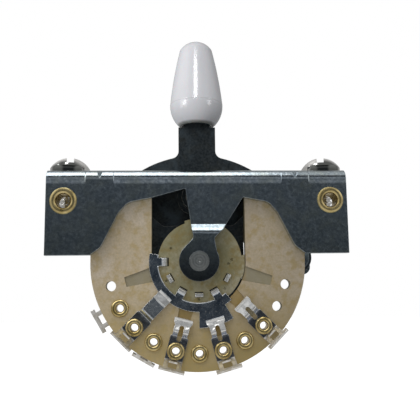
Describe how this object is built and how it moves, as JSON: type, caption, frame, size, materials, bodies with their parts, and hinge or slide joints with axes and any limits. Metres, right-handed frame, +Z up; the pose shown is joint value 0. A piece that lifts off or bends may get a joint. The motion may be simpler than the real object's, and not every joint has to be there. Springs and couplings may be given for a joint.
{
  "type": "guitar pickup selector switch",
  "caption": "Open-frame lever switch for guitar pickups: bent steel bracket, riveted contact wafer with rotor, spring-indexed lever with a push-on tip, and mounting screws.",
  "frame": {"origin": "middle of the mounting flange's top face, half way between the two mounting screws", "axes": "+X along the flange to the right screw seen from the front, +Y to the rear (away from the front plate), +Z up out of the panel along the lever at rest"},
  "size_m": [0.0476, 0.0129, 0.0539],
  "materials": {
    "plated_steel": "dull zinc plate with a mottled grain",
    "brass": "rolled brass, bright on the crests",
    "wafer": "resin-bonded paper board, tan with ochre mottling",
    "rotor": "resin-bonded paper board, olive tan",
    "lug": "silver-plated spring bronze, tarnished",
    "ring": "silver-plated, tarnished dark and glossy",
    "black_steel": "black oxide, mottled",
    "tip": "white, glossy, moulded",
    "nickel": "bright nickel plate",
    "spring_steel": "bright drawn wire"
  },
  "bodies": {
    "frame": {"mounting_bracket": "plated_steel", "left_wing_eyelet": "brass", "right_wing_eyelet": "brass", "contact_wafer": "wafer", "front_common_lug": "lug", "front_lug_1": "lug", "front_lug_2": "lug", "front_lug_3": "lug", "rear_common_lug": "lug", "rear_lug_1": "lug", "rear_lug_2": "lug", "rear_lug_3": "lug", "lug_eyelet_1": "brass", "lug_eyelet_2": "brass", "lug_eyelet_3": "brass", "lug_eyelet_4": "brass", "lug_eyelet_5": "brass", "lug_eyelet_6": "brass", "lug_eyelet_7": "brass", "lug_eyelet_8": "brass", "pivot_stud": "plated_steel", "retaining_clip": "spring_steel", "index_arm_stud": "plated_steel", "index_arm_spacer": "nickel", "left_mounting_screw": "nickel", "right_mounting_screw": "nickel"},
    "lever": {"lever_plate": "black_steel", "drive_bushing": "nickel", "rotor": "rotor", "front_contact_ring": "ring", "rear_contact_ring": "ring"},
    "tip": {"lever_tip": "tip"},
    "index_arm": {"index_arm": "black_steel", "roller_pin": "nickel", "detent_spring": "spring_steel"},
    "roller": {"index_roller": "nickel"}
  },
  "joints": [
    {"name": "lever_pivot", "type": "hinge", "parent": "frame", "child": "lever", "pos_m": [0, 0, -0.0144], "axis": [0, 1, 0], "range_deg": [-30, 30]},
    {"name": "tip_pull", "type": "slide", "parent": "lever", "child": "tip", "axis": [0, 0, 1], "range_m": [0, 0.0105]},
    {"name": "index_arm_pivot", "type": "hinge", "parent": "frame", "child": "index_arm", "pos_m": [0.0163, 0.002, -0.0136], "axis": [0, 1, 0], "range_deg": [0, 2.5]},
    {"name": "roller_spin", "type": "hinge", "parent": "index_arm", "child": "roller", "pos_m": [-0.00045, 0, -0.00372], "axis": [0, 1, 0], "continuous": true}
  ]
}
